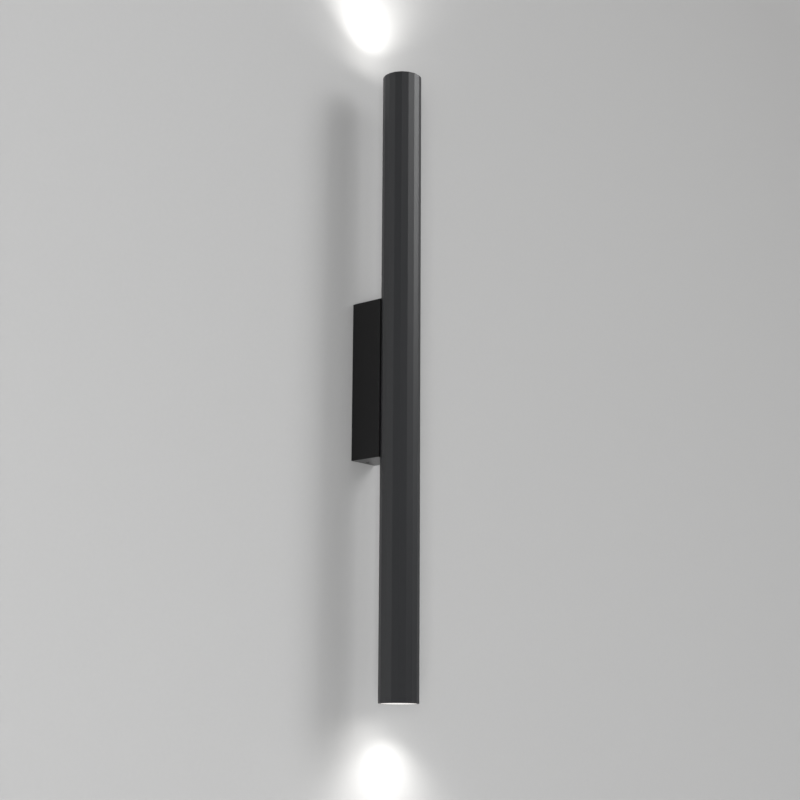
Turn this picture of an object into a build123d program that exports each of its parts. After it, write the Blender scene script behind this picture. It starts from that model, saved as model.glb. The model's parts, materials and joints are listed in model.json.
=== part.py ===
"""Up-and-down wall light: a faceted tube on a small wall box, with a lit optic in each end.

Millimetres. The origin is on the wall, at the centre of the wall plate's back face.
+X runs along the wall, +Y goes into the wall, +Z is up.
"""
import os
from math import hypot, radians, tan

from build123d import *

# ---------------------------------------------------------------- driving dimensions
# Tube: an aluminium extrusion, many-sided outside and round inside.
tube_length = 600.0
tube_across_flats = 37.0
tube_sides = 18
tube_wall = 2.0
tube_rim_break = 0.3

# Wall box: a five-sided aluminium shell, open towards the wall.
box_height = 152.0
box_width = 33.0
box_depth = 27.5
box_cheek_reach = 7.0
box_wall = 2.5
box_corner_radius = 0.6
box_front_break = 0.4
tap_floor = 0.4

# Wall plate: folded steel sheet with two slots and a cable hole.
plate_thickness = 2.0
plate_flange = 12.0
plate_bend_radius = 2.5
plate_side_gap = 0.3
plate_end_gap = 0.8
wall_screw_spacing = 80.0
wall_slot_width = 4.5
wall_slot_length = 10.0

# Cable grommet, pushed into the plate's cable hole.
cable_hole_radius = 6.0
cable_bore_radius = 3.5
cable_hole_inset = 14.5
grommet_lip_height = 1.5
grommet_lip_width = 2.0
grommet_lip_break = 0.6

# Low-head cap screws: radius of the thread and head, height of the head, length under the head.
m4_radius, m4_head_radius, m4_head_height, m4_length = 2.0, 3.5, 2.8, 10.0
m3_radius, m3_head_radius, m3_head_height, m3_length = 1.5, 2.75, 2.0, 6.0
m25_radius, m25_head_radius, m25_head_height, m25_length = 1.25, 2.25, 1.6, 6.0
grub_radius, grub_length, grub_tip_break = 1.5, 3.0, 0.5
socket_radius_share = 0.5
socket_depth_share = 0.5
washer_radius, washer_thickness = 4.4, 0.8

# Clamp bar inside the tube, tapped for the tube's screws.
bar_end_margin = 8.0
bar_width = 16.0
bar_depth = 5.5

# Lead bush through the wall box, the tube and the clamp bar.
bush_radius = 4.0
bush_bore_radius = 2.7
bush_lip_height = 1.0
bush_lip_width = 1.2
bush_lip_break = 0.5

# Where things stand along the wall box, from its ends towards its middle.
tube_screw_inset = 11.5
lead_bush_offset = 11.0
lead_turn_room = 13.0
terminal_offset = 11.0

# LED driver: a potted case with an ear at each end, on two bosses.
driver_end_gap = 3.0
driver_width = 20.0
driver_depth = 15.0
driver_edge_radius = 1.0
driver_ear_length = 5.0
driver_ear_width = 8.0
driver_ear_thickness = 2.0
driver_inlets = (-5.5, -1.5)
driver_lead_height = 7.5
socket_depth = 2.0
boss_height = 2.0
boss_radius = 3.0

# Supply terminal block: a row of poles, each with a brass cage and two clamp screws.
pole_count = 3
pole_gap = 1.4
terminal_side_gap = 1.2
pole_length = 19.0
pole_height = 13.5
pole_edge_break = 0.8
web_height = 8.0
wire_height = 5.5
cage_side = 4.2
cage_wall = 0.7
cage_length = 15.0
clamp_spacing = 8.6
clamp_radius, clamp_length = 1.3, 6.5
clamp_slot_width, clamp_slot_depth = 0.5, 0.8

# Earth lug, on its own boss in line with the last pole.
earth_gap = 15.0
lug_thickness = 0.8
lug_eye_radius = 3.0
lug_barrel_radius = 1.6
lug_barrel_length = 6.0

# Leads inside the light. A wander is a list of places across the tube's bore, spread evenly
# along it, as shares of the bore's radius.
lead_sides = 8
lead_bend_share = 0.45
wire_radius = 0.9
wire_grip = 5.0
pole_straight = 5.0
inlet_straight = 7.0
led_lead_radius = 1.0
led_lead_spacing = 2.5
bush_corner = 5.5
bush_exit = 2.0
tube_turn_across, tube_turn_along = 8.0, 6.0
wander_start = 17.0
fin_straight = 7.0
upper_wander = [(0.12, -0.12), (-0.09, -0.30), (0.09, -0.52)]
lower_wander = [(-0.12, -0.12), (0.06, 0.09), (-0.09, -0.18), (0.12, -0.27), (-0.06, -0.55)]

# Optic and cooling at each end of the tube, counted from the tube's end inwards.
lens_flange = 2.0
lens_body = 13.0
lens_back_radius = 5.5
lens_bow = 2.0
lens_pocket_radius = 4.2
lens_pocket_depth = 4.0
lens_pocket_dome = 1.5
holder_wall = 1.3
holder_floor = 1.5
chip_gap = 0.3
chip_side = 9.0
chip_height = 0.9
chip_window_radius = 3.4
chip_window_height = 0.5
board_inset = 2.0
board_thickness = 1.6
pad_thickness = 0.5
pad_screw_gap = 0.6
sink_base = 6.0
sink_fins = 12
sink_fin_length = 40.0
sink_fin_thickness = 1.6
sink_fin_inset = 0.6
sink_core_radius = 6.0
board_screw_circle = 11.0
lead_hole_circle = 11.0

# Clearances.
seat_gap = 0.05
slip_gap = 0.15
fit_gap = 0.3

# ---------------------------------------------------------------- places worked out
flat_radius = tube_across_flats / 2
axis_y = -(box_depth + flat_radius)
bore_radius = flat_radius - tube_wall
half_tube = tube_length / 2

cheek_depth = box_depth + box_cheek_reach
inner_height = box_height - 2 * box_wall
inner_width = box_width - 2 * box_wall
floor_y = box_wall - box_depth
tap_end_y = tap_floor - box_depth

plate_width = inner_width - 2 * plate_side_gap
plate_height = inner_height - 2 * plate_end_gap
grub_y = -plate_flange / 2

tube_screw_z = inner_height / 2 - tube_screw_inset
cable_hole_z = cable_hole_inset - inner_height / 2
lead_bush_z = tube_screw_z - lead_bush_offset
terminal_bottom_z = terminal_offset - tube_screw_z
terminal_top_z = terminal_bottom_z + pole_length
terminal_middle_z = (terminal_bottom_z + terminal_top_z) / 2
pole_pitch = (inner_width - 2 * terminal_side_gap + pole_gap) / pole_count
pole_width = pole_pitch - pole_gap
terminal_screw_length = web_height + box_wall - tap_floor - slip_gap
pole_xs = [pole_pitch * (pole - (pole_count - 1) / 2) for pole in range(pole_count)]
web_xs = [(left + right) / 2 for left, right in zip(pole_xs, pole_xs[1:])]
wire_y = floor_y + wire_height

earth_x = pole_xs[-1]
earth_z = terminal_top_z + earth_gap
earth_boss_height = wire_height - lug_barrel_radius
earth_boss_y = floor_y + earth_boss_height

driver_top_z = lead_bush_z - lead_turn_room
driver_bottom_z = earth_z + lug_eye_radius + driver_end_gap + driver_ear_length
driver_floor_y = floor_y + boss_height
driver_back_y = driver_floor_y + driver_depth
driver_lead_y = driver_floor_y + driver_lead_height
driver_ear_back_y = driver_floor_y + driver_ear_thickness
driver_screw_zs = (driver_bottom_z - driver_ear_length / 2, driver_top_z + driver_ear_length / 2)

bar_length = 2 * (tube_screw_z + bar_end_margin)
bar_radius = bore_radius - slip_gap
bar_front_y = axis_y + bore_radius - bar_depth

holder_radius = bore_radius - fit_gap
holder_bore = holder_radius - holder_wall
lens_rim_radius = holder_bore - fit_gap
board_radius = bore_radius - board_inset
pad_radius = board_screw_circle - m25_radius - pad_screw_gap
sink_radius = bore_radius - slip_gap
fin_radius = bore_radius - sink_fin_inset

lens_back = lens_flange + lens_body
chip_front = lens_back + chip_gap
board_front = chip_front + chip_height
holder_floor_front = board_front - holder_floor
pad_front = board_front + board_thickness
sink_front = pad_front + pad_thickness
fins_front = sink_front + sink_base
fins_back = fins_front + sink_fin_length
sink_screw_depth = sink_front + sink_base / 2
sink_screw_reach = flat_radius - m3_length


# ---------------------------------------------------------------- shapes used often
def bar_y(radius, near_y, far_y, x=0.0, z=0.0):
    """A round bar along Y."""
    return Pos(x, (near_y + far_y) / 2, z) * Rot(90, 0, 0) * Cylinder(radius, abs(far_y - near_y))


def bar_z(radius, low_z, high_z, x=0.0, y=0.0):
    """A round bar along Z."""
    return Pos(x, y, (low_z + high_z) / 2) * Cylinder(radius, abs(high_z - low_z))


def block(x_range, y_range, z_range):
    """A rectangular block between three pairs of limits."""
    ranges = (x_range, y_range, z_range)
    middle = [(low + high) / 2 for low, high in ranges]
    sizes = [abs(high - low) for low, high in ranges]
    return Pos(*middle) * Box(*sizes)


def span(half_width, middle=0.0):
    """The pair of limits half_width either side of a middle."""
    return (middle - half_width, middle + half_width)


def cap_screw(radius, head_radius, head_height, length):
    """A cap screw: its head stands on z = 0 and its shank points down."""
    screw = bar_z(head_radius, 0, head_height) + bar_z(radius - seat_gap, -length, 0)
    socket = extrude(RegularPolygon(head_radius * socket_radius_share, 6), head_height)
    return screw - Pos(0, 0, head_height * socket_depth_share) * socket


def screw_from_wall(screw, x, y, z):
    """Turns a screw so that its head faces the wall, and puts its base on the plane y."""
    return Pos(x, y, z) * Rot(-90, 0, 0) * screw


def lead(name, points, radius):
    """A round lead along straight runs joined by tangent arcs."""
    route = [Vector(*point) for point in points]
    runs = [after - before for before, after in zip(route, route[1:])]
    radii = []
    for before, after in zip(runs, runs[1:]):
        half_turn = radians(before.get_angle(after)) / 2
        radii.append(lead_bend_share * min(before.length, after.length) / tan(half_turn))
    path = FilletPolyline(*route, radius=radii)
    section = Plane(origin=path @ 0, z_dir=path % 0) * RegularPolygon(radius, lead_sides)
    solid = sweep(section, path=path)
    drawn = solid.volume / (section.area * path.length)
    print(f"{name}: {path.length:.0f} mm long, tightest bend {min(radii):.1f} mm, "
          f"volume {drawn:.4f} of section times length")
    return solid


def separate(pieces):
    """Keeps several solids apart in one node."""
    return Compound(children=[solid for piece in pieces for solid in piece.solids()])


# ---------------------------------------------------------------- tube and wall box
def tube_outline(radius):
    """The tube's many-sided section, with a flat facing the wall."""
    return RegularPolygon(radius, tube_sides, major_radius=False, rotation=90 - 180 / tube_sides)


def make_tube():
    """The faceted extrusion, with one flat facing the wall and the holes in that flat."""
    tube = extrude(tube_outline(flat_radius), tube_length)
    rims = tube.edges().group_by(Axis.Z)
    tube = Pos(0, axis_y, -half_tube) * chamfer(rims[0] + rims[-1], tube_rim_break)
    tube -= bar_z(bore_radius, -half_tube, half_tube, y=axis_y)
    for side in (-1, 1):
        tube -= bar_y(m4_radius + slip_gap, bar_front_y, -box_depth, z=side * tube_screw_z)
        sink_screw_z = side * (half_tube - sink_screw_depth)
        tube -= bar_y(m3_radius + slip_gap, bar_front_y, -box_depth, z=sink_screw_z)
    return tube - bar_y(bush_radius + slip_gap, bar_front_y, -box_depth, z=lead_bush_z)


def make_wall_box():
    """The shell behind the tube: its front cradles the tube, its inside has bosses."""
    outer = extrude(RectangleRounded(box_width, box_height, box_corner_radius), cheek_depth)
    outer = chamfer(outer.edges().group_by(Axis.Z)[-1], box_front_break)
    shell = Rot(90, 0, 0) * outer
    saddle = extrude(tube_outline(flat_radius + slip_gap), tube_length)
    cradle_reach = (axis_y - flat_radius, -box_depth)
    shell -= (Pos(0, axis_y, -half_tube) * saddle
              & block(span(box_width), cradle_reach, span(box_height)))
    shell -= block(span(inner_width / 2), (floor_y, 0), span(inner_height / 2))
    bosses = [(0.0, z, driver_floor_y, m25_radius) for z in driver_screw_zs]
    bosses.append((earth_x, earth_z, earth_boss_y, m3_radius))
    for x, z, top_y, _ in bosses:
        shell += bar_y(boss_radius, floor_y, top_y, x, z)
    for x, z, top_y, tap_radius in bosses:
        shell -= bar_y(tap_radius, tap_end_y, top_y, x, z)
    for x in web_xs:
        shell -= bar_y(m25_radius, tap_end_y, floor_y, x, terminal_middle_z)
    for side in (-1, 1):
        shell -= bar_y(m4_radius + slip_gap, -cheek_depth, floor_y, z=side * tube_screw_z)
        shell -= bar_z(grub_radius, side * inner_height / 2, side * box_height / 2, y=grub_y)
    return shell - bar_y(bush_radius + slip_gap, -cheek_depth, floor_y, z=lead_bush_z)


def make_grub_screws():
    """The two screws in the ends of the wall box, tight against the plate's folded ends."""
    screw = bar_z(grub_radius - seat_gap, 0, grub_length)
    screw = chamfer(screw.edges().group_by(Axis.Z)[0], grub_tip_break)
    socket = extrude(RegularPolygon(grub_radius * socket_radius_share, 6), grub_length)
    screw -= Pos(0, 0, grub_length * socket_depth_share) * socket
    upper = Pos(0, grub_y, plate_height / 2) * screw
    return separate([upper, mirror(upper, about=Plane.XY)])


def make_clamp_bar():
    """The bar in the tube's bore: its back follows the bore, its front is flat."""
    slab = block(span(bar_width / 2), (bar_front_y, axis_y + bore_radius), span(bar_length / 2))
    bar = slab & bar_z(bar_radius, -bar_length / 2, bar_length / 2, y=axis_y)
    for side in (-1, 1):
        bar -= bar_y(m4_radius, bar_front_y, -box_depth, z=side * tube_screw_z)
    return bar - bar_y(bush_radius + slip_gap, bar_front_y, -box_depth, z=lead_bush_z)


def make_tube_screws():
    """The two screws from inside the wall box, through the tube's wall, into the clamp bar."""
    screw = cap_screw(m4_radius, m4_head_radius, m4_head_height, m4_length)
    head_y = floor_y + washer_thickness
    return separate([screw_from_wall(screw, 0, head_y, side * tube_screw_z) for side in (-1, 1)])


def make_tube_screw_washers():
    """A washer under each tube screw's head."""
    ring = bar_y(washer_radius, floor_y, floor_y + washer_thickness)
    ring -= bar_y(m4_radius + slip_gap, floor_y, floor_y + washer_thickness)
    return separate([Pos(0, 0, side * tube_screw_z) * ring for side in (-1, 1)])


def make_lead_bush():
    """The bush that carries the two LED leads out of the wall box into the tube."""
    bush = bar_y(bush_radius, bar_front_y, floor_y, z=lead_bush_z)
    lip = bar_y(bush_radius + bush_lip_width, floor_y, floor_y + bush_lip_height, z=lead_bush_z)
    lip = chamfer(lip.edges().group_by(Axis.Y)[-1], bush_lip_break)
    return bush + lip - bar_y(bush_bore_radius, bar_front_y, floor_y + bush_lip_height,
                              z=lead_bush_z)


# ---------------------------------------------------------------- wall plate
def make_wall_plate():
    """Folded sheet: two slots for the wall screws, a cable hole, and an end folded out each way."""
    plate = block(span(plate_width / 2), (-plate_flange, 0), span(plate_height / 2))
    plate = fillet(plate.edges().filter_by(Axis.X).group_by(Axis.Y)[-1], plate_bend_radius)
    inside = block(span(plate_width / 2), (-plate_flange, -plate_thickness),
                   span(plate_height / 2 - plate_thickness))
    inside = fillet(inside.edges().filter_by(Axis.X).group_by(Axis.Y)[-1],
                    plate_bend_radius - plate_thickness)
    plate -= inside
    slot = Rot(90, 0, 0) * extrude(SlotOverall(wall_slot_length, wall_slot_width, rotation=90),
                                   plate_thickness)
    for side in (-1, 1):
        plate -= Pos(0, 0, side * wall_screw_spacing / 2) * slot
    return plate - bar_y(cable_hole_radius, -plate_thickness, 0, z=cable_hole_z)


def make_cable_grommet():
    """A soft ring in the plate's cable hole, flush with the wall side."""
    lip_y = -plate_thickness - grommet_lip_height
    lip = bar_y(cable_hole_radius + grommet_lip_width, lip_y, -plate_thickness, z=cable_hole_z)
    lip = chamfer(lip.edges().group_by(Axis.Y)[0], grommet_lip_break)
    ring = lip + bar_y(cable_hole_radius - seat_gap, -plate_thickness, 0, z=cable_hole_z)
    return ring - bar_y(cable_bore_radius, lip_y, 0, z=cable_hole_z)


# ---------------------------------------------------------------- inside the wall box
def make_led_driver():
    """The driver's case with its two ears, and sockets for the leads at both ends."""
    case = block(span(driver_width / 2), (driver_floor_y, driver_back_y),
                 (driver_bottom_z, driver_top_z))
    case = fillet(case.edges().filter_by(Axis.Z), driver_edge_radius)
    for z in driver_screw_zs:
        case += block(span(driver_ear_width / 2), (driver_floor_y, driver_ear_back_y),
                      span(driver_ear_length / 2, z))
        case -= bar_y(m25_radius + slip_gap, driver_floor_y, driver_ear_back_y, z=z)
    for x in driver_inlets:
        case -= bar_z(wire_radius + slip_gap, driver_bottom_z, driver_bottom_z + socket_depth,
                      x, driver_lead_y)
    for side in (-1, 1):
        case -= bar_z(led_lead_radius + slip_gap, driver_top_z - socket_depth, driver_top_z,
                      side * led_lead_spacing / 2, driver_lead_y)
    return case


def make_driver_screws():
    """The screws through the driver's ears."""
    screw = cap_screw(m25_radius, m25_head_radius, m25_head_height, m25_length)
    return separate([screw_from_wall(screw, 0, driver_ear_back_y, z) for z in driver_screw_zs])


def make_terminal_block():
    """The moulded strip: a tower for each pole, joined by a low web with the fixing holes."""
    length_range = (terminal_bottom_z, terminal_top_z)
    strip = block((pole_xs[0], pole_xs[-1]), (floor_y, floor_y + web_height), length_range)
    tower_y = floor_y + pole_height
    for x in pole_xs:
        tower = block(span(pole_width / 2, x), (floor_y, tower_y), length_range)
        strip += chamfer(tower.edges().group_by(Axis.Y)[-1], pole_edge_break)
    half_cage = cage_side / 2 + seat_gap
    for x in pole_xs:
        strip -= block(span(half_cage, x), span(half_cage, wire_y), length_range)
        for z in span(clamp_spacing / 2, terminal_middle_z):
            strip -= bar_y(clamp_radius + slip_gap, wire_y, tower_y, x, z)
    for x in web_xs:
        strip -= bar_y(m25_radius + slip_gap, floor_y, floor_y + web_height, x, terminal_middle_z)
        strip -= bar_y(m25_head_radius + slip_gap, floor_y + web_height, tower_y, x,
                       terminal_middle_z)
    return strip


def make_terminal_cages():
    """The square brass tube in each pole, tapped for its clamp screws."""
    half_cage = cage_side / 2
    half_bore = half_cage - cage_wall
    ends = span(cage_length / 2, terminal_middle_z)
    cages = []
    for x in pole_xs:
        cage = block(span(half_cage, x), span(half_cage, wire_y), ends)
        cage -= block(span(half_bore, x), span(half_bore, wire_y), ends)
        for z in span(clamp_spacing / 2, terminal_middle_z):
            cage -= bar_y(clamp_radius, wire_y, wire_y + half_cage, x, z)
        cages.append(cage)
    return separate(cages)


def make_terminal_clamp_screws():
    """Two slotted screws in each pole, with their tips level with the wire."""
    screw = bar_z(clamp_radius - seat_gap, 0, clamp_length)
    screw -= block(span(clamp_radius), span(clamp_slot_width / 2),
                   (clamp_length - clamp_slot_depth, clamp_length))
    return separate([screw_from_wall(screw, x, wire_y + wire_radius, z) for x in pole_xs
                     for z in span(clamp_spacing / 2, terminal_middle_z)])


def make_terminal_fixing_screws():
    """The screws that hold the terminal block to the wall box."""
    screw = cap_screw(m25_radius, m25_head_radius, m25_head_height, terminal_screw_length)
    head_y = floor_y + web_height
    return separate([screw_from_wall(screw, x, head_y, terminal_middle_z) for x in web_xs])


def make_earth_lug():
    """A ring terminal: flat eye, short neck and crimped barrel."""
    back_y = earth_boss_y + lug_thickness
    barrel_top_z = earth_z - lug_eye_radius
    barrel_bottom_z = barrel_top_z - lug_barrel_length
    lug = bar_y(lug_eye_radius, earth_boss_y, back_y, earth_x, earth_z)
    lug += block(span(lug_barrel_radius, earth_x), (earth_boss_y, back_y), (barrel_top_z, earth_z))
    lug += bar_z(lug_barrel_radius, barrel_bottom_z, barrel_top_z, earth_x, wire_y)
    lug -= bar_y(m3_radius + slip_gap, earth_boss_y, back_y, earth_x, earth_z)
    return lug - bar_z(wire_radius + seat_gap, barrel_bottom_z, barrel_top_z, earth_x, wire_y)


def make_earth_screw():
    """The screw that holds the earth lug on its boss."""
    screw = cap_screw(m3_radius, m3_head_radius, m3_head_height, m3_length)
    return screw_from_wall(screw, earth_x, earth_boss_y + lug_thickness, earth_z)


# ---------------------------------------------------------------- leads
def make_earth_lead():
    """A short straight wire from the last pole to the earth lug."""
    return bar_z(wire_radius, terminal_top_z - wire_grip, earth_z - lug_eye_radius - seat_gap,
                 earth_x, wire_y)


def make_supply_leads():
    """The two wires from the terminal block to the driver."""
    wires = []
    for pole_x, inlet_x in zip(pole_xs, driver_inlets):
        wires.append(lead("supply lead", [
            (pole_x, wire_y, terminal_top_z - wire_grip),
            (pole_x, wire_y, terminal_top_z + pole_straight),
            (inlet_x, driver_lead_y, driver_bottom_z - inlet_straight),
            (inlet_x, driver_lead_y, driver_bottom_z + socket_depth),
        ], wire_radius))
    return separate(wires)


def make_led_lead(end, wander):
    """A lead from the driver through the bush and along the tube to the LED board at one end."""
    x = end * led_lead_spacing / 2
    board_z = end * (half_tube - board_front)
    last_z = end * (half_tube - fins_back - fin_straight)
    first_z = lead_bush_z + end * wander_start
    points = [
        (x, driver_lead_y, driver_top_z - socket_depth),
        (x, driver_lead_y, lead_bush_z - bush_corner),
        (x, driver_lead_y - bush_corner, lead_bush_z),
        (x, bar_front_y - bush_exit, lead_bush_z),
        (x, bar_front_y - tube_turn_across, lead_bush_z + end * tube_turn_along),
    ]
    step = (last_z - first_z) / len(wander)
    for place, (across_x, across_y) in enumerate(wander):
        points.append((across_x * bore_radius, axis_y + across_y * bore_radius,
                       first_z + place * step))
    points.append((0, axis_y - lead_hole_circle, last_z))
    points.append((0, axis_y - lead_hole_circle, board_z))
    return lead(f"LED lead {'up' if end > 0 else 'down'}", points, led_lead_radius)


# ---------------------------------------------------------------- optic at the tube's ends
def at_end(piece, end):
    """Moves a piece modelled below z = 0 into the upper (1) or lower (-1) end of the tube."""
    turn = Rot(0, 0, 0) if end > 0 else Rot(0, 180, 0)
    return Pos(0, axis_y, end * half_tube) * turn * piece


def make_lens():
    """The clear collimator: flange, bowed side wall, and a domed pocket over the chip."""
    chord = Vector(lens_back_radius - lens_rim_radius, -lens_body)
    outward = Vector(lens_body, lens_back_radius - lens_rim_radius) * (lens_bow / chord.length)
    side_middle = Vector(lens_rim_radius, -lens_flange) + chord / 2 + outward
    dome_z = -lens_back + lens_pocket_depth
    wall_z = dome_z - lens_pocket_dome
    outline = [
        Polyline((0, dome_z), (0, 0), (holder_radius, 0), (holder_radius, -lens_flange),
                 (lens_rim_radius, -lens_flange), side_middle, (lens_back_radius, -lens_back),
                 (lens_pocket_radius, -lens_back), (lens_pocket_radius, wall_z)),
        TangentArc((0, dome_z), (lens_pocket_radius, wall_z), tangent=(1, 0)),
    ]
    return revolve(Plane.XZ * make_face(outline), Axis.Z)


def make_lens_holder():
    """A cup round the lens, with a floor that clamps the board and a skirt down to the sink."""
    cup = bar_z(holder_radius, -sink_front, -lens_flange)
    cup -= bar_z(holder_bore, -holder_floor_front, -lens_flange)
    cup -= bar_z(board_radius + fit_gap, -sink_front, -board_front)
    half_chip = chip_side / 2
    cup -= bar_z(hypot(half_chip, half_chip) + fit_gap, -board_front, -holder_floor_front)
    for x in span(board_screw_circle):
        cup -= bar_z(m25_radius + slip_gap, -board_front, -holder_floor_front, x)
    return cup


def make_led_chip():
    """The light source: a square carrier with a low round window."""
    carrier = block(span(chip_side / 2), span(chip_side / 2), (-board_front, -chip_front))
    return carrier + bar_z(chip_window_radius, -chip_front, chip_window_height - chip_front)


def make_led_board():
    """The round board with its screw holes and the hole for the lead."""
    limits = (-pad_front, -board_front)
    board = bar_z(board_radius, *limits)
    for x in span(board_screw_circle):
        board -= bar_z(m25_radius + slip_gap, *limits, x)
    return board - bar_z(led_lead_radius + fit_gap, *limits, y=-lead_hole_circle)


def make_thermal_pad():
    """The round pad between the board and the heat sink, inside the circle of the screws."""
    return bar_z(pad_radius, -sink_front, -pad_front)


def make_heat_sink():
    """A thick base with radial fins on a core; the lead runs through the base, between fins."""
    fin_step = 360 / sink_fins
    profile = Circle(sink_core_radius)
    for fin in range(sink_fins):
        turn = Rot(0, 0, 270 + (fin + 0.5) * fin_step)
        profile += turn * Pos(fin_radius / 2, 0) * Rectangle(fin_radius, sink_fin_thickness)
    profile &= Circle(fin_radius)
    sink = Pos(0, 0, -fins_back) * extrude(profile, sink_fin_length)
    sink += bar_z(sink_radius, -fins_front, -sink_front)
    sink -= bar_z(led_lead_radius + fit_gap, -fins_front, -sink_front, y=-lead_hole_circle)
    screw_depth = holder_floor_front + m25_length + fit_gap
    for x in span(board_screw_circle):
        sink -= bar_z(m25_radius, -screw_depth, -sink_front, x)
    return sink - bar_y(m3_radius, sink_screw_reach - fit_gap, sink_radius, z=-sink_screw_depth)


def make_board_screws():
    """The screws through each lens holder's floor and board into the heat sink."""
    screw = cap_screw(m25_radius, m25_head_radius, m25_head_height, m25_length)
    return separate([at_end(Pos(x, 0, -holder_floor_front) * screw, end)
                     for end in (1, -1) for x in span(board_screw_circle)])


def make_heat_sink_screws():
    """The screw through the back of the tube into each heat sink."""
    screw = cap_screw(m3_radius, m3_head_radius, m3_head_height, m3_length)
    return separate([at_end(screw_from_wall(screw, 0, flat_radius, -sink_screw_depth), end)
                     for end in (1, -1)])


# ---------------------------------------------------------------- the parts
def make_parts():
    """Every piece of the light, by name."""
    parts = {
        "tube": make_tube(),
        "wall_box": make_wall_box(),
        "wall_plate": make_wall_plate(),
        "cable_grommet": make_cable_grommet(),
        "grub_screws": make_grub_screws(),
        "clamp_bar": make_clamp_bar(),
        "tube_screws": make_tube_screws(),
        "tube_screw_washers": make_tube_screw_washers(),
        "lead_bush": make_lead_bush(),
        "led_driver": make_led_driver(),
        "driver_screws": make_driver_screws(),
        "terminal_block": make_terminal_block(),
        "terminal_cages": make_terminal_cages(),
        "terminal_clamp_screws": make_terminal_clamp_screws(),
        "terminal_fixing_screws": make_terminal_fixing_screws(),
        "earth_lug": make_earth_lug(),
        "earth_screw": make_earth_screw(),
        "earth_lead": make_earth_lead(),
        "supply_leads": make_supply_leads(),
        "upper_led_lead": make_led_lead(1, upper_wander),
        "lower_led_lead": make_led_lead(-1, lower_wander),
        "board_screws": make_board_screws(),
        "heat_sink_screws": make_heat_sink_screws(),
    }
    for name, end in (("upper", 1), ("lower", -1)):
        parts[f"{name}_lens"] = at_end(make_lens(), end)
        parts[f"{name}_lens_holder"] = at_end(make_lens_holder(), end)
        parts[f"{name}_led_chip"] = at_end(make_led_chip(), end)
        parts[f"{name}_led_board"] = at_end(make_led_board(), end)
        parts[f"{name}_thermal_pad"] = at_end(make_thermal_pad(), end)
        parts[f"{name}_heat_sink"] = at_end(make_heat_sink(), end)
    return parts


os.makedirs("parts", exist_ok=True)
for node, part in make_parts().items():
    export_step(part, f"parts/{node}.step")
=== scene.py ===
"""Looks for the tube wall light: finishes, wall and floor, light and camera. Metres, Z up."""
import json
import math

import bpy
from mathutils import Matrix, Vector


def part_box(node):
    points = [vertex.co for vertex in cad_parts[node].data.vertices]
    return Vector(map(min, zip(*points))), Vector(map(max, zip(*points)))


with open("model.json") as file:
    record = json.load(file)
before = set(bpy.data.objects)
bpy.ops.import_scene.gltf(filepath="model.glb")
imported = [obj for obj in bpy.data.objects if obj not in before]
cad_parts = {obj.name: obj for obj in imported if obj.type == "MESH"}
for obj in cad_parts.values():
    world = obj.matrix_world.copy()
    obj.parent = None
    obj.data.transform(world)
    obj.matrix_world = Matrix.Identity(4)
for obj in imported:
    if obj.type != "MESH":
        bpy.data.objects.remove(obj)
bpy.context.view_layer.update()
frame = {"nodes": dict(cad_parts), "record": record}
nodes = frame["nodes"]

# ------------------------------------------------------------------ camera
# Found from the photograph: the tube's two edges and ends, its facets and the wall box.
CAMERA_PLACE = Vector((-1.1207, -1.0190, -0.3571))
CAMERA_YAW, CAMERA_PITCH, CAMERA_ROLL = (math.radians(a) for a in (49.02, 12.75, 0.34))
CAMERA_LENS = 73.42


def make_camera():
    """The photograph's viewpoint: low on the left, looking up at the light."""
    level = Vector((math.sin(CAMERA_YAW), math.cos(CAMERA_YAW), 0))
    ahead = level * math.cos(CAMERA_PITCH) + Vector((0, 0, math.sin(CAMERA_PITCH)))
    right = ahead.cross(Vector((0, 0, 1))).normalized()
    above = right.cross(ahead)
    rolled_right = right * math.cos(CAMERA_ROLL) + above * math.sin(CAMERA_ROLL)
    rolled_above = above * math.cos(CAMERA_ROLL) - right * math.sin(CAMERA_ROLL)
    data = bpy.data.cameras.new("camera")
    data.sensor_width = 36
    data.lens = CAMERA_LENS
    data.clip_start, data.clip_end = 0.01, 60
    camera = bpy.data.objects.new("camera", data)
    turn = Matrix((rolled_right, rolled_above, -ahead)).transposed()
    camera.matrix_world = Matrix.Translation(CAMERA_PLACE) @ turn.to_4x4()
    bpy.context.scene.collection.objects.link(camera)
    bpy.context.scene.camera = camera


# ------------------------------------------------------------------ node helpers
NOISE_ROUGHNESS = 0.55
NOISE_LOW, NOISE_HIGH = 0.28, 0.72
EDGE_STARTS, EDGE_FULL = 0.998, 0.93
SLEEVE_BLEND = 0.02


class Nodes:
    """A material's node tree, with short ways to add nodes and join them."""

    def __init__(self, name):
        self.material = bpy.data.materials.new(name)
        self.material.use_nodes = True
        self.tree = self.material.node_tree
        self.tree.nodes.clear()

    def add(self, kind, inputs=(), **settings):
        """A node of that kind. inputs maps a socket's name or number to a value or a socket."""
        node = self.tree.nodes.new("ShaderNode" + kind)
        for key, value in settings.items():
            setattr(node, key, value)
        for key, value in dict(inputs).items():
            self.set(node.inputs[key], value)
        return node

    def set(self, socket, value):
        if isinstance(value, bpy.types.NodeSocket):
            self.tree.links.new(value, socket)
        else:
            socket.default_value = value

    def math(self, operation, *values, clamp=False):
        return self.add("Math", enumerate(values), operation=operation, use_clamp=clamp).outputs[0]

    def spread(self, value, low, high):
        """Stretches a 0-to-1 value onto low to high."""
        return self.add("MapRange", {"Value": value, "To Min": low, "To Max": high}).outputs[0]

    def mix(self, share, first, second):
        node = self.add("Mix", data_type="RGBA")
        self.set(node.inputs["Factor"], share)
        self.set(node.inputs["A"], first)
        self.set(node.inputs["B"], second)
        return node.outputs["Result"]


def rgba(colour, gain=1.0):
    return tuple(min(1.0, part * gain) for part in colour) + (1.0,)


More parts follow.
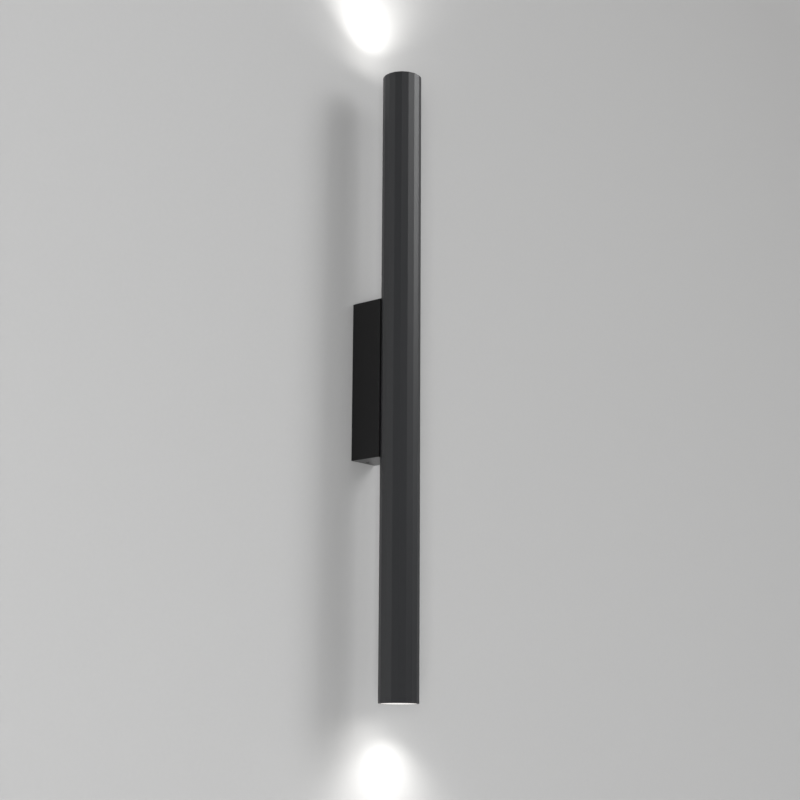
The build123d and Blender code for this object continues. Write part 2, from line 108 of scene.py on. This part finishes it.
def noise(tree, where, scale, detail=3.0):
    """Noise with its middle half stretched to 0 to 1."""
    made = tree.add("TexNoise", {"Vector": where, "Scale": scale, "Detail": detail,
                                 "Roughness": NOISE_ROUGHNESS})
    return tree.add("MapRange", {"Value": made.outputs[0], "From Min": NOISE_LOW,
                                 "From Max": NOISE_HIGH}).outputs[0]


def surface(name, colour, rough, metal=0.0, grain=1500.0, stretch=(1, 1, 1), depth=0.00002,
            bump=0.25, mottle=60.0, mottle_share=0.08, grain_share=0.06, rough_swing=0.05,
            edge_gain=1.25, edge_size=0.0004, specular=0.5, anisotropy=0.0):
    """A finish with a fine grain, a slow mottle and edges painted slightly brighter: a painted highlight,
    patchy like edge wear.
    """
    tree = Nodes(name)
    where = tree.add("TexCoord").outputs["Object"]
    drawn = tree.add("Mapping", {"Vector": where, "Scale": stretch}).outputs[0]
    fine = noise(tree, drawn, grain)
    slow = noise(tree, where, mottle, detail=4.0)
    flat = tree.add("NewGeometry").outputs["Normal"]
    eased = tree.add("Bevel", {"Radius": edge_size}, samples=4).outputs[0]
    along = tree.add("VectorMath", {0: flat, 1: eased}, operation="DOT_PRODUCT").outputs["Value"]
    edge = tree.add("MapRange", {"Value": along, "From Min": EDGE_STARTS,
                                 "From Max": EDGE_FULL}).outputs[0]
    # Painted highlight: edges are painted lighter by edge_gain where they would catch light, made patchy
    # like wear by the slow mottle.
    edge_highlight_and_wear = tree.math("MULTIPLY", edge, tree.spread(slow, 0.35, 1.0), clamp=True)
    body = tree.mix(fine, rgba(colour, 1 - grain_share), rgba(colour, 1 + grain_share))
    shade = tree.mix(slow, rgba((1 - mottle_share,) * 3), rgba((1.0,) * 3))
    tinted = tree.add("Mix", {6: body, 7: shade, 0: 1.0}, data_type="RGBA",
                      blend_type="MULTIPLY").outputs[2]
    final = tree.mix(edge_highlight_and_wear, tinted, rgba(colour, edge_gain))
    relief = tree.add("Bump", {"Strength": bump, "Distance": depth, "Height": fine}).outputs[0]
    roughness = tree.math("ADD", tree.spread(fine, rough - rough_swing, rough + rough_swing),
                          tree.spread(slow, -rough_swing / 2, rough_swing / 2), clamp=True)
    shader = tree.add("BsdfPrincipled", {"Base Color": final, "Metallic": metal,
                                         "Roughness": roughness, "Normal": relief,
                                         "Specular IOR Level": specular,
                                         "Anisotropic": anisotropy})
    if anisotropy:
        tangent = tree.add("Tangent", direction_type="RADIAL", axis="Z")
        tree.set(shader.inputs["Tangent"], tangent.outputs[0])
    tree.add("OutputMaterial", {"Surface": shader.outputs[0]})
    return tree


def two_tone(name, first, second, share, rough, period=None):
    """A gloss sleeve in two colours: split by the side of the light, or in lengthwise stripes."""
    tree = Nodes(name)
    where = tree.add("TexCoord").outputs["Object"]
    parts = tree.add("SeparateXYZ", {0: where}).outputs
    fine = noise(tree, where, 2200.0)
    if period:
        across = tree.math("FRACT", tree.math("DIVIDE", parts[0], period))
    else:
        across = tree.add("MapRange", {"Value": parts[0], "From Min": -SLEEVE_BLEND,
                                       "From Max": SLEEVE_BLEND}).outputs[0]
    side = tree.math("GREATER_THAN", across, share)
    shade = tree.add("Mix", {6: tree.mix(side, rgba(first), rgba(second)),
                             7: tree.mix(fine, rgba((0.93,) * 3), rgba((1.0,) * 3)), 0: 1.0},
                     data_type="RGBA", blend_type="MULTIPLY").outputs[2]
    relief = tree.add("Bump", {"Strength": 0.15, "Distance": 0.00002, "Height": fine}).outputs[0]
    shader = tree.add("BsdfPrincipled", {"Base Color": shade, "Normal": relief,
                                         "Roughness": tree.spread(fine, rough - 0.05, rough + 0.05)})
    tree.add("OutputMaterial", {"Surface": shader.outputs[0]})
    return tree


LENS_CELLS_PER_METRE = 520.0
LENS_RING_PITCH = 0.0016
LENS_GLOW = 0.72
LENS_EDGE_STARTS, LENS_EDGE_GLOW = 0.55, 0.86
LENS_CELL_BRIGHT, LENS_CELL_DIM = 1.12, 0.62


def lit_lens(name):
    """Frosted acrylic, lit from behind: dimmer towards its edge, with fine prism cells."""
    tree = Nodes(name)
    where = tree.add("TexCoord").outputs["Object"]
    centre = tree.add("VectorMath", {0: where, 1: (0, TUBE_Y, 0)}, operation="SUBTRACT").outputs[0]
    flat = tree.add("VectorMath", {0: centre, 1: (1, 1, 0)}, operation="MULTIPLY").outputs[0]
    reach = tree.add("VectorMath", {0: flat}, operation="LENGTH").outputs["Value"]
    out_share = tree.math("DIVIDE", reach, LENS_RADIUS, clamp=True)
    cells = tree.add("TexVoronoi", {"Vector": flat, "Scale": LENS_CELLS_PER_METRE,
                                    "Randomness": 0.25}).outputs[0]
    rings = tree.math("SINE", tree.math("MULTIPLY", reach, 2 * math.pi / LENS_RING_PITCH))
    fall = tree.add("MapRange", {"Value": out_share, "From Min": LENS_EDGE_STARTS, "From Max": 1.0,
                                 "To Min": 1.0, "To Max": LENS_EDGE_GLOW}, interpolation_type="SMOOTHSTEP")
    cell_shade = tree.spread(cells, LENS_CELL_BRIGHT, LENS_CELL_DIM)
    glow = tree.math("MULTIPLY", fall.outputs[0], cell_shade)
    tint = tree.mix(out_share, rgba((1.0, 0.985, 0.955)), rgba((1.0, 0.965, 0.91)))
    dimmed = tree.add("VectorMath", {0: tint, "Scale": glow}, operation="SCALE")
    height = tree.math("ADD", cells, tree.math("MULTIPLY", rings, 0.2))
    relief = tree.add("Bump", {"Strength": 0.4, "Distance": 0.0002, "Height": height}).outputs[0]
    shader = tree.add("BsdfPrincipled", {"Base Color": rgba((0.4, 0.4, 0.39)), "Normal": relief,
                                         "Roughness": tree.spread(cells, 0.22, 0.38),
                                         "Emission Color": dimmed.outputs[0],
                                         "Emission Strength": LENS_GLOW})
    tree.add("OutputMaterial", {"Surface": shader.outputs[0]})
    return tree


# ------------------------------------------------------------------ finishes
tube_low, tube_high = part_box("tube")
TUBE_Y = (tube_low.y + tube_high.y) / 2
TUBE_TOP, TUBE_BOTTOM = tube_high.z, tube_low.z
lens_low, lens_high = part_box("upper_lens")
LENS_RADIUS = (lens_high.x - lens_low.x) / 2


def make_finishes():
    """One finish for each material slot in the record."""
    extruded = (1.0, 1.0, 0.004)
    return {
        "anodised_tube": surface("anodised_tube", (0.0175, 0.0182, 0.02), 0.43, grain=2600.0,
                                 anisotropy=0.3, specular=0.78,
                                 stretch=extruded, bump=0.18, depth=0.00001, mottle=14.0,
                                 mottle_share=0.05, rough_swing=0.03, edge_gain=1.5,
                                 edge_size=0.0002),
        "painted_box": surface("painted_box", (0.004, 0.004, 0.0042), 0.2, grain=1900.0,
                               bump=0.1, depth=0.00001, mottle=30.0, edge_gain=2.0,
                               rough_swing=0.03, specular=0.36),
        "zinc_steel": surface("zinc_steel", (0.54, 0.55, 0.57), 0.44, metal=1.0, grain=3000.0,
                              mottle=240.0, mottle_share=0.14, rough_swing=0.08),
        "black_rubber": surface("black_rubber", (0.026, 0.026, 0.027), 0.72, grain=2400.0,
                                bump=0.5, edge_gain=1.4),
        "black_screw": surface("black_screw", (0.022, 0.022, 0.024), 0.38, metal=0.4,
                               grain=3200.0, edge_gain=2.2),
        "plain_aluminium": surface("plain_aluminium", (0.72, 0.73, 0.74), 0.36, metal=1.0,
                                   grain=2600.0, stretch=extruded, mottle=90.0,
                                   rough_swing=0.07),
        "black_nylon": surface("black_nylon", (0.032, 0.032, 0.033), 0.5, grain=1600.0, bump=0.4),
        "white_case": surface("white_case", (0.78, 0.78, 0.76), 0.46, grain=1700.0, bump=0.35,
                              edge_gain=1.05, mottle_share=0.05),
        "grey_nylon": surface("grey_nylon", (0.60, 0.60, 0.58), 0.44, grain=1500.0, bump=0.35,
                              edge_gain=1.1),
        "brass": surface("brass", (0.78, 0.60, 0.30), 0.3, metal=1.0, grain=3200.0, mottle=180.0,
                         mottle_share=0.12),
        "tinned_brass": surface("tinned_brass", (0.66, 0.66, 0.66), 0.32, metal=1.0,
                                grain=2800.0, mottle=200.0),
        "green_yellow_pvc": two_tone("green_yellow_pvc", (0.10, 0.34, 0.06), (0.80, 0.66, 0.06),
                                     0.6, 0.36, period=0.0012),
        "brown_blue_pvc": two_tone("brown_blue_pvc", (0.20, 0.09, 0.04), (0.06, 0.20, 0.50),
                                   0.38, 0.36),
        "white_silicone": surface("white_silicone", (0.78, 0.78, 0.76), 0.5, grain=2400.0,
                                  edge_gain=1.0),
        "frosted_lens": lit_lens("frosted_lens"),
        "white_holder": surface("white_holder", (0.84, 0.84, 0.82), 0.42, grain=1700.0,
                                edge_gain=1.05),
        "led_ceramic": surface("led_ceramic", (0.88, 0.80, 0.42), 0.4, grain=4200.0,
                               grain_share=0.1, edge_gain=1.0),
        "white_board": surface("white_board", (0.86, 0.86, 0.84), 0.38, grain=2600.0,
                               edge_gain=1.0),
        "grey_pad": surface("grey_pad", (0.44, 0.45, 0.47), 0.65, grain=2600.0, bump=0.5,
                            edge_gain=1.0),
    }


def dress(finishes):
    """Gives each CAD node its slot's finish."""
    for part in frame["record"]["subparts"]:
        mesh = nodes[part["node"]].data
        material = finishes[part["material_slot"]].material
        if not mesh.materials:
            mesh.materials.append(material)
        for place in range(len(mesh.materials)):
            mesh.materials[place] = material


# ------------------------------------------------------------------ wall and floor
WALL_GAP = 0.0005
WALL_LEFT, WALL_RIGHT, WALL_TOP, FLOOR_Z = -3.0, 3.0, 1.6, -1.5
FLOOR_REACH = 4.0
# The wall is clear to a ray that starts this close to it, so the back of the plate can be seen.
CONTACT = 0.001
# Painted shading: the wall's colour is mixed between four corners of this patch of wall, darker towards
# the top and most at the top right, in place of the light's falloff.
SHADE_LEFT, SHADE_RIGHT, SHADE_LOW, SHADE_HIGH = -0.4, 0.9, -0.45, 0.7
WALL_LOW_LEFT, WALL_HIGH_LEFT = (0.505, 0.505, 0.505), (0.44, 0.44, 0.44)
WALL_LOW_RIGHT, WALL_HIGH_RIGHT = (0.505, 0.505, 0.505), (0.33, 0.328, 0.326)


def plane(name, corners):
    mesh = bpy.data.meshes.new(name)
    mesh.from_pydata(corners, [], [(0, 1, 2, 3)])
    made = bpy.data.objects.new(name, mesh)
    bpy.context.scene.collection.objects.link(made)
    return made


def wall_material():
    """Smooth pale paint, with painted shading darker towards the top right. Seen from behind, and from
    within the gap behind the light, it is clear.
    """
    tree = Nodes("wall_with_painted_shading")
    where = tree.add("TexCoord").outputs["Object"]
    parts = tree.add("SeparateXYZ", {0: where}).outputs
    across = tree.add("MapRange", {"Value": parts[0], "From Min": SHADE_LEFT,
                                   "From Max": SHADE_RIGHT}).outputs[0]
    up = tree.add("MapRange", {"Value": parts[2], "From Min": SHADE_LOW,
                               "From Max": SHADE_HIGH}).outputs[0]
    fine = noise(tree, where, 260.0)
    # Painted shading: darker towards the top, most at the top right.
    painted_shading = tree.mix(across, tree.mix(up, rgba(WALL_LOW_LEFT), rgba(WALL_HIGH_LEFT)),
                     tree.mix(up, rgba(WALL_LOW_RIGHT), rgba(WALL_HIGH_RIGHT)))
    speck = tree.mix(fine, rgba((0.985,) * 3), rgba((1.0,) * 3))
    colour = tree.add("Mix", {6: painted_shading, 7: speck, 0: 1.0}, data_type="RGBA",
                      blend_type="MULTIPLY").outputs[2]
    relief = tree.add("Bump", {"Strength": 0.1, "Distance": 0.0002, "Height": fine}).outputs[0]
    solid = tree.add("BsdfDiffuse", {"Color": colour, "Normal": relief}).outputs[0]
    clear = tree.add("BsdfTransparent").outputs[0]
    light_path = tree.add("LightPath").outputs
    near = tree.math("LESS_THAN", light_path["Ray Length"], CONTACT)
    behind = tree.add("NewGeometry").outputs["Backfacing"]
    gone = tree.math("MAXIMUM", near, behind)
    both = tree.add("MixShader", {0: gone, 1: solid, 2: clear}).outputs[0]
    tree.add("OutputMaterial", {"Surface": both})
    return tree.material


def floor_material():
    """Pale matt floor."""
    tree = Nodes("floor_paint")
    where = tree.add("TexCoord").outputs["Object"]
    fine = noise(tree, where, 40.0)
    colour = tree.mix(fine, rgba((0.70, 0.70, 0.69)), rgba((0.72, 0.72, 0.71)))
    solid = tree.add("BsdfDiffuse", {"Color": colour})
    tree.add("OutputMaterial", {"Surface": solid.outputs[0]})
    return tree.material


def make_room():
    wall = plane("wall", [(WALL_LEFT, WALL_GAP, FLOOR_Z), (WALL_RIGHT, WALL_GAP, FLOOR_Z),
                          (WALL_RIGHT, WALL_GAP, WALL_TOP), (WALL_LEFT, WALL_GAP, WALL_TOP)])
    wall.data.materials.append(wall_material())
    floor = plane("floor", [(-FLOOR_REACH, -FLOOR_REACH, FLOOR_Z),
                            (FLOOR_REACH, -FLOOR_REACH, FLOOR_Z),
                            (FLOOR_REACH, FLOOR_REACH, FLOOR_Z),
                            (-FLOOR_REACH, FLOOR_REACH, FLOOR_Z)])
    floor.data.materials.append(floor_material())


# ------------------------------------------------------------------ light
BEAM_COLOUR = (1.0, 0.985, 0.955)
BEAM_SOURCE = 0.006
BEAM_LIFT = 0.003
WORLD_GREY, WORLD_STRENGTH = 0.5, 0.4


def area_lamp(name, bearing, height, distance, size, power, glossy=True):
    """A soft box aimed at the light. bearing is from straight out of the wall towards +X."""
    data = bpy.data.lights.new(name, "AREA")
    data.shape = "RECTANGLE"
    data.size, data.size_y = size
    data.energy = power
    lamp = bpy.data.objects.new(name, data)
    b, h = math.radians(bearing), math.radians(height)
    away = Vector((math.sin(b) * math.cos(h), -math.cos(b) * math.cos(h), math.sin(h)))
    lamp.location = away * distance
    lamp.rotation_mode = "QUATERNION"
    lamp.rotation_quaternion = away.to_track_quat("Z", "Y")
    lamp.visible_glossy = glossy
    bpy.context.scene.collection.objects.link(lamp)


def beam(name, end, power, half_angle, blend, side):
    """A cone of light at one end of the tube. end is 1 for up and -1 for down; side is its X."""
    data = bpy.data.lights.new(name, "SPOT")
    data.energy, data.color = power, BEAM_COLOUR
    data.spot_size, data.spot_blend = math.radians(2 * half_angle), blend
    data.shadow_soft_size = BEAM_SOURCE
    lamp = bpy.data.objects.new(name, data)
    end_z = TUBE_TOP if end > 0 else TUBE_BOTTOM
    lamp.location = (side, TUBE_Y, end_z + end * BEAM_LIFT)
    lamp.rotation_euler = (math.pi if end > 0 else 0, 0, 0)
    bpy.context.scene.collection.objects.link(lamp)


def make_light():
    area_lamp("key", bearing=41, height=34, distance=3.0, size=(1.1, 1.6), power=34)
    area_lamp("low_key", bearing=44, height=22, distance=3.0, size=(1.1, 1.6), power=13,
              glossy=False)
    area_lamp("overhead", bearing=4, height=42, distance=3.0, size=(1.6, 1.2), power=13)
    area_lamp("fill", bearing=-49, height=-12, distance=3.2, size=(0.8, 1.4), power=63,
              glossy=False)
    area_lamp("rear", bearing=155, height=30, distance=3.0, size=(4.4, 3.8), power=44)
    beam("core_up", 1, power=1.56, half_angle=55, blend=1.0, side=-0.002)
    beam("halo_up", 1, power=0.24, half_angle=86.6, blend=1.0, side=-0.002)
    beam("core_down", -1, power=0.7, half_angle=62.9, blend=1.0, side=0.034)
    beam("halo_down", -1, power=0.17, half_angle=89.9, blend=1.0, side=0.012)
    world = bpy.data.worlds.new("world")
    world.use_nodes = True
    world.node_tree.nodes["Background"].inputs[0].default_value = rgba((WORLD_GREY,) * 3)
    world.node_tree.nodes["Background"].inputs[1].default_value = WORLD_STRENGTH
    bpy.context.scene.world = world


make_camera()
dress(make_finishes())
make_room()
make_light()
bpy.context.scene.view_settings.view_transform = "Standard"
